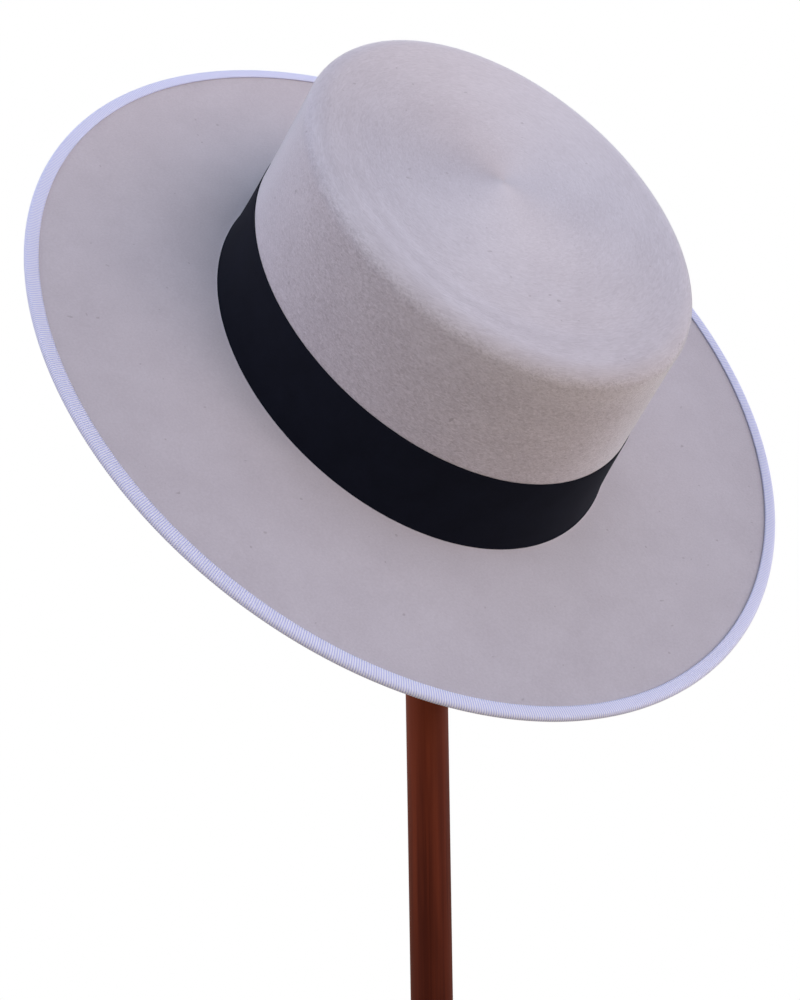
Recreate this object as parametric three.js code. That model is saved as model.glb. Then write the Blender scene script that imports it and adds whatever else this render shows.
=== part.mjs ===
// A gaucho hat hanging on a plain wooden stand.
//
// The hat is one blocked felt body with a round-cornered crown and a wide, nearly flat brim, a black
// ribbon round the foot of the crown, and a pale ribbon folded over the edge of the brim. It hangs
// nose down: the rounded end of the pole sits in the back upper corner inside the crown.
//
// Units are millimetres and +Z is up. The origin is the middle of the underside of the base.
// In the hat's own frame +X is the wearer's right, +Y the front and +Z the axis of the crown,
// with zero height where the top of the brim meets the crown.

import * as THREE from 'three';

// Segments round each piece, and steps along its curves
const HAT_SEGMENTS = 64;
const BASE_SEGMENTS = 48;
const POLE_SEGMENTS = 24;
const CROWN_CORNER_STEPS = 6;
const BREAK_STEPS = 3;
const POLE_END_STEPS = 5;
const BASE_ROUNDING_STEPS = 4;

// Felt body
const FELT_WALL = 1.6;
const CROWN_HEIGHT = 88.1;
const CROWN_CORNER_WIDTH = 9.2;
const CROWN_CORNER_HEIGHT = 7.4;
const CROWN_RIM_HEIGHT = 78.9;
const BREAK_RADIUS = 2;
const TIP_RISE = 2.7;
const TOP_DISH_DEPTH = 0.8;
const TOP_TIP = { forward: -4.9, left: -0.9 };

// Plan ovals. Half length runs front to back, half width from side to side. Forward and left move the
// middle, and back fullness broadens the oval behind the middle and narrows it in front.
const OVALS = {
  crownRim: { halfLength: 94.8, halfWidth: 79.2, forward: 0.3, left: -0.1, backFullness: 1.0 },
  crownFoot: { halfLength: 99.5, halfWidth: 80.5, forward: 0.5, left: -0.6, backFullness: 0 },
  brimEdge: { halfLength: 175.8, halfWidth: 162.0, forward: 1.8, left: 0.9, backFullness: 1.7 },
};

// The leaning wall flares out near its foot: how far at the foot, and the power of the way down
const FOOT_FLARE = { length: 1.2, width: 2.2, power: 5 };

// Brim: height of the middle of the felt at its edge, and how the edge waves round the hat
const BRIM_EDGE_HEIGHT = 0.2;
const BRIM_SIDE_LIFT = 1.0;
const BRIM_FRONT_LIFT = 0.7;

// Where the felt has its rings: shares of the way from the tip to the corner of the crown, heights on
// its wall, and shares of the way from the foot of the crown to the brim's edge
const TOP_SHARES = [0.12, 0.3, 0.5, 0.7, 0.85];
const WALL_HEIGHTS = [58, 34.6, 20, 10];
const BRIM_SHARES = [0.25, 0.5, 0.75, 0.9, 1];

// Ribbons
const RIBBON_THICKNESS = 1.0;
const RIBBON_GAP = 0.3;
const BAND_HEIGHTS = [0.7, 2, 10, 20, 34.6];
const BINDING_OVERLAP = 4.2;
const BINDING_ROUNDING = 0.7;

// Stand
const POLE_RADIUS = 8.6;
const STAND_HEIGHT = 450;
const BASE_RADIUS = 95;
const BASE_THICKNESS = 20;
const BASE_TOP_ROUNDING = 6;
const BASE_FOOT_CHAMFER = 1.5;
const SOCKET_DEPTH = 14;
const SOCKET_GAP = 0.3;

// Pose of the hat on the pole, in degrees, and where the middle of the pole's round end sits in the
// hat's own frame: in the upper corner at the back, clear of the felt by a small gap
const HAT_HEADING = -149.5;
const HAT_LEAN = 52.0;
const HAT_SPIN = 2.5;
const SEAT_GAP = 0.3;
const SEAT = {
  right: -0.4,
  front: OVALS.crownRim.forward - (OVALS.crownRim.halfLength - FELT_WALL - POLE_RADIUS - SEAT_GAP),
  up: CROWN_HEIGHT - FELT_WALL - POLE_RADIUS - SEAT_GAP,
};

// Colours
const FELT_GREY = 0xbab4c1;
const RIBBON_BLACK = 0x1c1b22;
const RIBBON_PALE = 0xd3d5ec;
const STAINED_WOOD = 0x5a2216;

const QUARTER_TURN = Math.PI / 2;

function feltMaterial() {
  return new THREE.MeshStandardMaterial({ color: FELT_GREY, roughness: 0.95, metalness: 0 });
}

function bandMaterial() {
  return new THREE.MeshStandardMaterial({ color: RIBBON_BLACK, roughness: 0.7, metalness: 0 });
}

function bindingMaterial() {
  return new THREE.MeshStandardMaterial({ color: RIBBON_PALE, roughness: 0.6, metalness: 0 });
}

function woodMaterial() {
  return new THREE.MeshStandardMaterial({ color: STAINED_WOOD, roughness: 0.35, metalness: 0 });
}

function mix(from, to, share) {
  return from + (to - from) * share;
}

// An oval between two others
function mixOvals(from, to, share) {
  return {
    halfLength: mix(from.halfLength, to.halfLength, share),
    halfWidth: mix(from.halfWidth, to.halfWidth, share),
    forward: mix(from.forward, to.forward, share),
    left: mix(from.left, to.left, share),
    backFullness: mix(from.backFullness, to.backFullness, share),
  };
}

// The same oval with its edge moved outwards all round
function grownOval(oval, growth) {
  return { ...oval, halfLength: oval.halfLength + growth, halfWidth: oval.halfWidth + growth };
}

// How far the brim's edge stands above its mean height at an angle from the front
function edgeWave(angle) {
  return BRIM_FRONT_LIFT * Math.cos(angle) - BRIM_SIDE_LIFT * Math.cos(2 * angle);
}

// One closed ring of points on an oval. The angle runs from the front towards the wearer's right, and
// wave is the share of the brim's waviness that the ring takes.
function ringPoints({ oval, height, wave = 0 }) {
  const points = [];
  for (let i = 0; i < HAT_SEGMENTS; i += 1) {
    const angle = (2 * Math.PI * i) / HAT_SEGMENTS;
    const halfWidth = oval.halfWidth - oval.backFullness * Math.cos(angle);
    points.push([
      halfWidth * Math.sin(angle) - oval.left,
      oval.halfLength * Math.cos(angle) + oval.forward,
      height + wave * edgeWave(angle),
    ]);
  }
  return points;
}

// A closed skin over a list of rings. With end points the first and last rings are closed onto them,
// and without them the last ring joins the first, as on a tube bent into a ring.
function skinOverRings(rings, endPoints) {
  const positions = rings.flat(2);
  const indices = [];
  const bands = endPoints ? rings.length - 1 : rings.length;
  for (let r = 0; r < bands; r += 1) {
    const near = r * HAT_SEGMENTS;
    const far = ((r + 1) % rings.length) * HAT_SEGMENTS;
    for (let i = 0; i < HAT_SEGMENTS; i += 1) {
      const j = (i + 1) % HAT_SEGMENTS;
      indices.push(near + i, near + j, far + i);
      indices.push(near + j, far + j, far + i);
    }
  }
  if (endPoints) {
    const first = rings.length * HAT_SEGMENTS;
    const last = (rings.length - 1) * HAT_SEGMENTS;
    positions.push(...endPoints[0], ...endPoints[1]);
    for (let i = 0; i < HAT_SEGMENTS; i += 1) {
      const j = (i + 1) % HAT_SEGMENTS;
      indices.push(first, j, i);
      indices.push(first + 1, last + i, last + j);
    }
  }
  const geometry = new THREE.BufferGeometry();
  geometry.setAttribute('position', new THREE.Float32BufferAttribute(positions, 3));
  geometry.setIndex(indices);
  geometry.computeVertexNormals();
  return geometry;
}

// Height of the crown's top at a share of the way from its tip to the corner: a shallow cone with a
// low dish round it
function topHeight(share) {
  const dish = Math.sin(Math.PI * share * share) ** 2;
  return CROWN_HEIGHT + TIP_RISE * (1 - share) - TOP_DISH_DEPTH * dish;
}

// A station is a ring of the outer felt face, with the slope of that face as the angle of its normal
// above the horizontal: 90 degrees on the top and the brim, 0 on the wall.
function topStations() {
  const edge = grownOval(OVALS.crownRim, -CROWN_CORNER_WIDTH);
  const tip = { ...TOP_TIP, halfLength: 0, halfWidth: 0, backFullness: 0 };
  return TOP_SHARES.map((share) => ({
    oval: mixOvals(tip, edge, share),
    height: topHeight(share),
    normal: QUARTER_TURN,
  }));
}

function cornerStations() {
  const stations = [];
  for (let i = 0; i <= CROWN_CORNER_STEPS; i += 1) {
    const normal = QUARTER_TURN * (1 - i / CROWN_CORNER_STEPS);
    stations.push({
      oval: grownOval(OVALS.crownRim, CROWN_CORNER_WIDTH * (Math.cos(normal) - 1)),
      height: CROWN_HEIGHT + CROWN_CORNER_HEIGHT * (Math.sin(normal) - 1),
      normal,
    });
  }
  return stations;
}

// The oval of the leaning crown wall at a height above the brim, with the flare towards its foot
function wallOval(height) {
  const share = height / CROWN_RIM_HEIGHT;
  const flare = (1 - share) ** FOOT_FLARE.power;
  const oval = mixOvals(OVALS.crownFoot, OVALS.crownRim, share);
  return {
    ...oval,
    halfLength: oval.halfLength + FOOT_FLARE.length * flare,
    halfWidth: oval.halfWidth + FOOT_FLARE.width * flare,
  };
}

function wallStations() {
  return WALL_HEIGHTS.map((height) => ({ oval: wallOval(height), height, normal: 0 }));
}

function breakStations() {
  const stations = [];
  for (let i = 0; i <= BREAK_STEPS; i += 1) {
    const normal = (QUARTER_TURN * i) / BREAK_STEPS;
    const height = BREAK_RADIUS * (1 - Math.sin(normal));
    stations.push({
      oval: grownOval(wallOval(height), BREAK_RADIUS * (1 - Math.cos(normal))),
      height,
      normal,
    });
  }
  return stations;
}

function brimStations() {
  const inner = grownOval(wallOval(0), BREAK_RADIUS);
  return BRIM_SHARES.map((share) => ({
    oval: mixOvals(inner, OVALS.brimEdge, share),
    height: share * (BRIM_EDGE_HEIGHT + FELT_WALL / 2),
    normal: QUARTER_TURN,
    wave: share,
  }));
}

// The inner face lies one wall below or inside the outer face, along its normal
function innerStation(station) {
  return {
    ...station,
    oval: grownOval(station.oval, -FELT_WALL * Math.cos(station.normal)),
    height: station.height - FELT_WALL * Math.sin(station.normal),
  };
}

function feltCrownAndBrim() {
  const outer = [
    ...topStations(),
    ...cornerStations(),
    ...wallStations(),
    ...breakStations(),
    ...brimStations(),
  ];
  const inner = outer.map(innerStation).reverse();
  const rings = [...outer, ...inner].map(ringPoints);
  const tipHeight = topHeight(0);
  const outerTip = [-TOP_TIP.left, TOP_TIP.forward, tipHeight];
  const innerTip = [-TOP_TIP.left, TOP_TIP.forward, tipHeight - FELT_WALL];
  const mesh = new THREE.Mesh(skinOverRings(rings, [outerTip, innerTip]), feltMaterial());
  mesh.name = 'felt_crown_and_brim';
  return mesh;
}

// How far the rounded break stands out from the wall at a height above the brim
function breakGrowth(height) {
  const drop = Math.max(0, BREAK_RADIUS - height);
  return BREAK_RADIUS - Math.sqrt(BREAK_RADIUS ** 2 - drop ** 2);
}

// The ribbon follows the crown wall and flares with the break at its lower edge
function hatBand() {
  const faceStation = (height, clearance) => ({
    oval: grownOval(wallOval(height), breakGrowth(height) + clearance),
    height,
  });
  const inner = BAND_HEIGHTS.map((height) => faceStation(height, RIBBON_GAP));
  const outer = BAND_HEIGHTS.map((height) => faceStation(height, RIBBON_GAP + RIBBON_THICKNESS)).reverse();
  const mesh = new THREE.Mesh(skinOverRings([...inner, ...outer].map(ringPoints)), bandMaterial());
  mesh.name = 'hat_band';
  return mesh;
}

// The binding is a U of ribbon over the brim's edge. Out is measured from the felt's edge, and up from
// the middle of the felt.
function bindingSection() {
  const gapTop = FELT_WALL / 2 + RIBBON_GAP;
  const outTop = gapTop + RIBBON_THICKNESS;
  const outEdge = RIBBON_GAP + RIBBON_THICKNESS;
  const upperHalf = [
    { out: RIBBON_GAP, up: gapTop },
    { out: -BINDING_OVERLAP, up: gapTop },
    { out: -BINDING_OVERLAP, up: outTop },
    { out: outEdge - BINDING_ROUNDING * 2, up: outTop },
    { out: outEdge, up: outTop - BINDING_ROUNDING * 2 },
  ];
  const lowerHalf = upperHalf.map(({ out, up }) => ({ out, up: -up })).reverse();
  return [...upperHalf, ...lowerHalf];
}

function brimBinding() {
  const rings = bindingSection().map(({ out, up }) =>
    ringPoints({ oval: grownOval(OVALS.brimEdge, out), height: BRIM_EDGE_HEIGHT + up, wave: 1 }),
  );
  const mesh = new THREE.Mesh(skinOverRings(rings), bindingMaterial());
  mesh.name = 'brim_binding';
  return mesh;
}

// A piece turned about the vertical axis from points of radius and height
function turned(profile, segments, material) {
  const points = profile.map(([radius, height]) => new THREE.Vector2(radius, height));
  const geometry = new THREE.LatheGeometry(points, segments);
  geometry.rotateX(QUARTER_TURN);
  return new THREE.Mesh(geometry, material);
}

// Points of a quarter arc, from its upright side to its top
function quarterArc(centreRadius, centreHeight, radius, steps) {
  const points = [];
  for (let i = 1; i < steps; i += 1) {
    const angle = (QUARTER_TURN * i) / steps;
    points.push([centreRadius + radius * Math.cos(angle), centreHeight + radius * Math.sin(angle)]);
  }
  return points;
}

function standPole() {
  const foot = BASE_THICKNESS - SOCKET_DEPTH + SOCKET_GAP;
  const shoulder = STAND_HEIGHT - POLE_RADIUS;
  const profile = [
    [0, foot],
    [POLE_RADIUS, foot],
    [POLE_RADIUS, shoulder],
    ...quarterArc(0, shoulder, POLE_RADIUS, POLE_END_STEPS),
    [0, STAND_HEIGHT],
  ];
  const mesh = turned(profile, POLE_SEGMENTS, woodMaterial());
  mesh.name = 'stand_pole';
  return mesh;
}

function standBase() {
  const socketRadius = POLE_RADIUS + SOCKET_GAP;
  const socketFloor = BASE_THICKNESS - SOCKET_DEPTH;
  const roundingHeight = BASE_THICKNESS - BASE_TOP_ROUNDING;
  const roundingRadius = BASE_RADIUS - BASE_TOP_ROUNDING;
  const profile = [
    [0, 0],
    [BASE_RADIUS - BASE_FOOT_CHAMFER, 0],
    [BASE_RADIUS, BASE_FOOT_CHAMFER],
    [BASE_RADIUS, roundingHeight],
    ...quarterArc(roundingRadius, roundingHeight, BASE_TOP_ROUNDING, BASE_ROUNDING_STEPS),
    [roundingRadius, BASE_THICKNESS],
    [socketRadius, BASE_THICKNESS],
    [socketRadius, socketFloor],
    [0, socketFloor],
  ];
  const mesh = turned(profile, BASE_SEGMENTS, woodMaterial());
  mesh.name = 'stand_base';
  return mesh;
}

// The hat turns about the middle of the pole's round end: heading, then lean, then spin on its axis
function hatOnPerch() {
  const hat = new THREE.Group();
  hat.position.set(-SEAT.right, -SEAT.front, -SEAT.up);
  hat.add(feltCrownAndBrim(), hatBand(), brimBinding());

  const spun = new THREE.Group();
  spun.rotation.z = THREE.MathUtils.degToRad(HAT_SPIN);
  spun.add(hat);

  const leaning = new THREE.Group();
  leaning.rotation.x = -THREE.MathUtils.degToRad(HAT_LEAN);
  leaning.add(spun);

  const perch = new THREE.Group();
  perch.position.set(0, 0, STAND_HEIGHT - POLE_RADIUS);
  perch.rotation.z = THREE.MathUtils.degToRad(HAT_HEADING);
  perch.add(leaning);
  return perch;
}

const gauchoHatOnStand = new THREE.Group();
gauchoHatOnStand.add(standBase(), standPole(), hatOnPerch());

export default gauchoHatOnStand;
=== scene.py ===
# %% [markdown]
# # A gaucho hat on a plain wooden stand
#
# The hat is one piece of pale grey felt, blocked over a round-cornered crown and pressed flat at the
# brim. A black ribbon runs round the foot of the crown and a pale ribbed ribbon is folded over the
# edge of the brim. It hangs nose down on a stained wooden pole.
#
# The solid model is loaded first, as a fixed frame. Each finished piece below takes the place of its
# plain solid and follows it to within about two millimetres. It isn't nearer, because the crown's
# curves were fitted to the photograph once more after the solids were made, and because the solid
# ribbons are thicker than real ones.

# %% Load the solid model
import math

import bpy
import numpy as np
from mathutils import Matrix, Vector


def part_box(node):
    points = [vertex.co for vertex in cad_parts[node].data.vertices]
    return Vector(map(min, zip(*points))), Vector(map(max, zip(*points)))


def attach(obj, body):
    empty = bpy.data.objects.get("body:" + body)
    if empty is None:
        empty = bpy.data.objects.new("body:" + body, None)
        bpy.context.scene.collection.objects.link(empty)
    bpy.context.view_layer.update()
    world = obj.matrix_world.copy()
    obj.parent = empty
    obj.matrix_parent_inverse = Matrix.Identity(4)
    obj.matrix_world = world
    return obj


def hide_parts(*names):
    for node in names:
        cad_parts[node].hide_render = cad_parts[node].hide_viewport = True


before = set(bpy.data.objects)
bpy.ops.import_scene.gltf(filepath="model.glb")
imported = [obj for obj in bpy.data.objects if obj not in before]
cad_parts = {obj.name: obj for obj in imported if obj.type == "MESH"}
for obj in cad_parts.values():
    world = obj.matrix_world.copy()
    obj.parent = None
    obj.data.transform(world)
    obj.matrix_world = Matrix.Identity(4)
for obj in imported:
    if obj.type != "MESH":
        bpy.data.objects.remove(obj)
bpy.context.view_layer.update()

# %% [markdown]
# ## The camera
#
# The photograph was taken level with the lower part of the hat, from about three quarters of a metre,
# with the camera rolled by just under a degree. The place, lens and roll were found by laying the
# model's outlines over those in the photograph. A camera looks along its own -Z axis, so its turn is
# written as three columns: where its right, its up and its back point.

# %% Camera
PICTURE_HEIGHT_PX = 1000
FOCAL_LENGTH_PX = 1850
SENSOR_MM = 36.0
CAMERA_PLACE = (-0.00958, -0.75136, 0.26698)
CAMERA_ROLL = math.radians(0.945)


def make_camera():
    """A level camera that looks along +Y and is rolled clockwise by CAMERA_ROLL."""
    lens = bpy.data.cameras.new("camera")
    lens.sensor_width = SENSOR_MM
    lens.lens = SENSOR_MM * FOCAL_LENGTH_PX / PICTURE_HEIGHT_PX
    lens.clip_start = 0.01
    lens.clip_end = 100.0
    camera = bpy.data.objects.new("camera", lens)
    bpy.context.scene.collection.objects.link(camera)
    right = (math.cos(CAMERA_ROLL), 0.0, -math.sin(CAMERA_ROLL))
    up = (math.sin(CAMERA_ROLL), 0.0, math.cos(CAMERA_ROLL))
    back = (0.0, -1.0, 0.0)
    turn = Matrix((right, up, back)).transposed()
    camera.matrix_world = Matrix.Translation(CAMERA_PLACE) @ turn.to_4x4()
    return camera


bpy.context.scene.camera = make_camera()
print("camera lens in mm:", round(bpy.context.scene.camera.data.lens, 1))

# %% [markdown]
# ## The hat's own frame
#
# A hat is easiest to shape upright: +X to the wearer's right, +Y to the front, +Z up through the
# crown, with height zero where the top of the brim meets the crown. Everything is worked out in
# millimetres in that frame, and one function then turns it into place on the pole, in metres.
#
# Nothing fastens the hat. It hangs on the pole's round end, which sits inside the front corner of the
# crown. That point is called the seat here, and the middle of the pole's round end is the perch.

# %% How the hat is turned
MM = 0.001
HAT_HEADING = math.radians(-149.5)
HAT_LEAN = math.radians(52.0)
HAT_SPIN = math.radians(2.5)
HAT_TURN = np.array(
    Matrix.Rotation(HAT_HEADING, 3, "Z")
    @ Matrix.Rotation(-HAT_LEAN, 3, "X")
    @ Matrix.Rotation(HAT_SPIN, 3, "Z")
)

POLE_LOW, POLE_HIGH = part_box("stand_pole")
POLE_RADIUS = (POLE_HIGH.x - POLE_LOW.x) / 2 / MM
POLE_TOP = POLE_HIGH.z / MM
print("pole's radius and top in mm:", round(POLE_RADIUS, 2), round(POLE_TOP, 2))

# %% Seat and perch
FELT_WALL = 1.6
CROWN_HEIGHT = 88.7
CORNER_WIDTH = 8.5
CORNER_HEIGHT = 6.9
BREAK_RADIUS = 1.2
CROWN_RIM_HALF_LENGTH = 93.9
SEAT_GAP = 0.3
SEAT_RIGHT = 0.1
SEAT = np.array([
    SEAT_RIGHT,
    -(CROWN_RIM_HALF_LENGTH - FELT_WALL - POLE_RADIUS - SEAT_GAP),
    CROWN_HEIGHT - FELT_WALL - POLE_RADIUS - SEAT_GAP,
])
PERCH = np.array([0.0, 0.0, POLE_TOP - POLE_RADIUS])


def in_place(points):
    """Points of the hat's frame in mm, moved so that the seat lies on the pole's round end, in metres:
    the point less the seat, turned, plus the perch."""
    return ((points - SEAT) @ HAT_TURN.T + PERCH) * MM


print("middle of the brim in metres:", in_place(np.zeros(3)).round(4))

# %% [markdown]
# ## Ovals and rings
#
# Seen from above, each height of a hat is an oval. Three named ovals are enough: the edge of the brim,
# the foot of the crown and the rim of the crown. They could be drawn as curves and lofted. Here an oval
# is a row of five numbers, so two ovals mix by plain arithmetic, and a whole stack of them becomes a
# surface in one line.

# %% Ovals
# columns: half length, half width, forward, left, back fullness
CROWN_RIM = np.array([CROWN_RIM_HALF_LENGTH, 78.2, 0.0, 0.1, 1.0])
CROWN_FOOT = np.array([99.7, 80.9, 0.9, -1.0, 0.0])
FOOT_FLARE = np.array([0.8, 2.2, 0.0, 0.5, 0.5])
BRIM_EDGE = np.array([176.0, 162.2, 1.8, 0.95, 1.7])
TOP_TIP = np.array([0.0, 0.0, -4.9, -0.9, 0.0])
# added once for each millimetre by which an oval grows all round
GROW = np.array([1.0, 1.0, 0.0, 0.0, 0.0])

FLARE_POWER = 5
RIM_HEIGHT = 79.5
BRIM_EDGE_HEIGHT = 0.2
BRIM_SIDE_LIFT = 1.0
BRIM_FRONT_LIFT = 0.7


def edge_wave(angle):
    """Height of the brim's edge over its mean: the front lift times the cosine of the angle, less the
    side lift times the cosine of twice the angle."""
    return BRIM_FRONT_LIFT * np.cos(angle) - BRIM_SIDE_LIFT * np.cos(2 * angle)


def rings(ovals, heights, waves, angle):
    """A grid of points, one ring a row. The angle runs from the front to the wearer's right, so x goes
    with its sine and y with its cosine, each times the oval's half size at that ring."""
    length, width, forward, left, fullness = (column[:, None] for column in ovals.T)
    sine, cosine = np.sin(angle)[None, :], np.cos(angle)[None, :]
    x = (width - fullness * cosine) * sine - left
    y = length * cosine + forward
    z = heights[:, None] + waves[:, None] * edge_wave(angle)[None, :]
    return np.stack([x, y, z], axis=-1)


def wall_oval(height):
    """The oval of the crown's leaning wall: a straight mix from foot to rim with height, plus a flare
    that grows with a high power of the way down."""
    down = 1 - np.asarray(height)[:, None] / RIM_HEIGHT
    return CROWN_RIM + (CROWN_FOOT - CROWN_RIM) * down + FOOT_FLARE * down**FLARE_POWER


print("brim, front to back and side to side in mm:", 2 * BRIM_EDGE[0], 2 * BRIM_EDGE[1])

# %% [markdown]
# ## From a grid to a mesh
#
# A surface is a grid of points. Quads join each ring to the next, and a fan of triangles closes a ring
# onto a single point. `foreach_set` copies whole arrays into the mesh, so no loop visits the points.
#
# A mesh can also carry numbers of its own, called attributes. Two are stored here for the materials:
# where a point lies on the upright hat, and how high it stands on its rib of the ribbon.

# %% Make a mesh
def store(mesh, name, kind, field, values):
    """Adds an attribute to the mesh, with one value or one triple of values for each point."""
    attribute = mesh.attributes.new(name, kind, "POINT")
    attribute.data.foreach_set(field, np.asarray(values, np.float32).ravel())


def add_piece(name, points, quads, triangles=(), places=None, rib=None):
    """A smooth mesh object from arrays of points, quads and triangles. Places and rib, if given, are
    stored as the attributes hat_place and rib, which the materials read."""
    quads = np.asarray(quads, np.int32).reshape(-1, 4)
    triangles = np.asarray(triangles, np.int32).reshape(-1, 3)
    corners = np.concatenate([quads.ravel(), triangles.ravel()])
    sizes = np.concatenate([np.full(len(quads), 4), np.full(len(triangles), 3)])
    starts = np.concatenate([[0], np.cumsum(sizes)[:-1]])
    mesh = bpy.data.meshes.new(name)
    mesh.vertices.add(len(points))
    mesh.vertices.foreach_set("co", np.asarray(points, np.float32).ravel())
    mesh.loops.add(len(corners))
    mesh.loops.foreach_set("vertex_index", corners.astype(np.int32))
    mesh.polygons.add(len(sizes))
    mesh.polygons.foreach_set("loop_start", starts.astype(np.int32))
    mesh.polygons.foreach_set("use_smooth", np.ones(len(sizes), bool))
    mesh.update(calc_edges=True)
    if places is not None:
        store(mesh, "hat_place", "FLOAT_VECTOR", "vector", places)
    if rib is not None:
        store(mesh, "rib", "FLOAT", "value", rib)
    piece = bpy.data.objects.new(name, mesh)
    bpy.context.scene.collection.objects.link(piece)
    print(name, "triangles:", 2 * len(quads) + len(triangles))
    return piece


# %% Join the rings
def ring_quads(rows, columns, closed):
    """Quads between neighbouring rings. The last column joins the first, and a closed grid's last
    ring joins its first."""
    row = np.arange(rows if closed else rows - 1)[:, None]
    column = np.arange(columns)[None, :]
    after = (column + 1) % columns
    low, high = row * columns, (row + 1) % rows * columns
    joined = np.broadcast_arrays(low + column, low + after, high + after, high + column)
    return np.stack(joined, axis=-1)


def end_fans(rows, columns, first_point, last_point):
    """Triangles from the first ring to one end point and from the last ring to the other."""
    column = np.arange(columns)
    after = (column + 1) % columns
    last = (rows - 1) * columns
    first_fan = np.stack([np.full(columns, first_point), after, column], axis=-1)
    last_fan = np.stack([np.full(columns, last_point), last + column, last + after], axis=-1)
    return np.concatenate([first_fan, last_fan])


print("quads in a closed tube of 3 rings and 4 columns:", ring_quads(3, 4, closed=True)[..., 0].size)

# %% [markdown]
# ## The top of the crown
#
# The top is a shallow dome. A faint ring is pressed into it, a low ridge with a groove outside it,
# which shows on one side only. The ring could be a bump in the material, but it catches the light as a
# real form, so it is moved into the surface itself.

# %% Dome and pressed ring
QUARTER_TURN = math.pi / 2
TOP_RISE = 2.2
RISE_SHARE = 0.95
# columns: height in mm, share of the way from the tip to the corner, width as such a share
PRESSED_RIDGE = (0.22, 0.68, 0.07)
PRESSED_GROOVE = (0.38, 0.84, 0.055)
PRESSED_TOWARD = math.radians(55)


def top_height(share):
    """Height of the top from its tip (share 0) to the corner (share 1): a low dome that is level at its
    middle and again just inside the corner, with a smooth step between, one less three squares plus
    two cubes of the share."""
    step = np.clip(share / RISE_SHARE, 0, 1)
    return CROWN_HEIGHT + TOP_RISE * (1 - 3 * step**2 + 2 * step**3)


def bell(share, height, middle, width):
    """A bell curve: the height times e to the minus square of the distance over the width."""
    return height * np.exp(-(((share - middle) / width) ** 2))


def top_ripple(share, angle):
    """The ring pressed into the top, a ridge less a groove. Both fade round the hat with the square of
    a raised cosine: strongest toward the wearer's right of the front, gone at the back left."""
    side = np.clip(0.5 + 0.5 * np.cos(angle - PRESSED_TOWARD), 0, 1) ** 2
    return (bell(share, *PRESSED_RIDGE) - bell(share, *PRESSED_GROOVE))[:, None] * side[None, :]


print("tip of the crown over its corner in mm:", round(float(top_height(0.0)) - CROWN_HEIGHT, 2))

# %% [markdown]
# ## The felt body
#
# A felt hat is pulled over a block while hot and wet, so crown and brim are one skin of even
# thickness. The outer face is one profile: the dome, a round corner, a nearly upright wall, a small
# hollow curve at the foot and a long flat brim. A Solidify modifier could give it its thickness. Here
# each station of the profile knows the slope of its normal instead, so the inner face is the same
# profile moved in by one wall, and both faces close at the brim's edge without a seam.

# %% Felt profile
TOP_STEPS = 41
TOP_CROWDING = 0.9
CORNER_STEPS = 15
WALL_STEPS = 30
BREAK_STEPS = 9
BRIM_STEPS = 34


def top_shares():
    """Shares of the way from the tip to the corner at which the top has its rings."""
    return np.linspace(0, 1, TOP_STEPS)[1:-1] ** TOP_CROWDING


def felt_stations():
    """Ovals, heights, normals and waves of the outer face, from beside the tip to the brim's edge. The
    corner is a quarter of an ellipse and the curve at the foot a quarter circle."""
    share = top_shares()
    corner_oval = CROWN_RIM - CORNER_WIDTH * GROW
    top = TOP_TIP + (corner_oval - TOP_TIP) * share[:, None]
    normal = np.linspace(QUARTER_TURN, 0, CORNER_STEPS)
    corner = CROWN_RIM + CORNER_WIDTH * (np.cos(normal) - 1)[:, None] * GROW
    corner_height = CROWN_HEIGHT + CORNER_HEIGHT * (np.sin(normal) - 1)
    wall_height = np.linspace(CROWN_HEIGHT - CORNER_HEIGHT, BREAK_RADIUS, WALL_STEPS)[1:-1]
    bend = np.linspace(0, QUARTER_TURN, BREAK_STEPS)
    bend_height = BREAK_RADIUS * (1 - np.sin(bend))
    bend_oval = wall_oval(bend_height) + BREAK_RADIUS * (1 - np.cos(bend))[:, None] * GROW
    out = np.linspace(0, 1, BRIM_STEPS)[1:]
    inner_oval = CROWN_FOOT + FOOT_FLARE + BREAK_RADIUS * GROW
    brim = inner_oval + (BRIM_EDGE - inner_oval) * out[:, None]
    brim_height = out * (BRIM_EDGE_HEIGHT + FELT_WALL / 2)
    flat = np.zeros_like
    upward = np.full_like
    ovals = np.concatenate([top, corner, wall_oval(wall_height), bend_oval, brim])
    heights = np.concatenate([top_height(share), corner_height, wall_height, bend_height, brim_height])
    normals = np.concatenate([
        upward(share, QUARTER_TURN), normal, flat(wall_height), bend, upward(out, QUARTER_TURN),
    ])
    waves = np.concatenate([flat(share), flat(normal), flat(wall_height), flat(bend), out])
    return ovals, heights, normals, waves


def inner_face(ovals, heights, normals):
    """Ovals and heights of the profile moved one wall thickness against its normal."""
    moved = ovals - FELT_WALL * np.cos(normals)[:, None] * GROW
    return moved, heights - FELT_WALL * np.sin(normals)


# %% Felt body
AROUND = 384
round_angle = np.linspace(0, 2 * math.pi, AROUND, endpoint=False)
EVERY_SECOND_BACKWARD = slice(None, None, -2)


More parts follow.
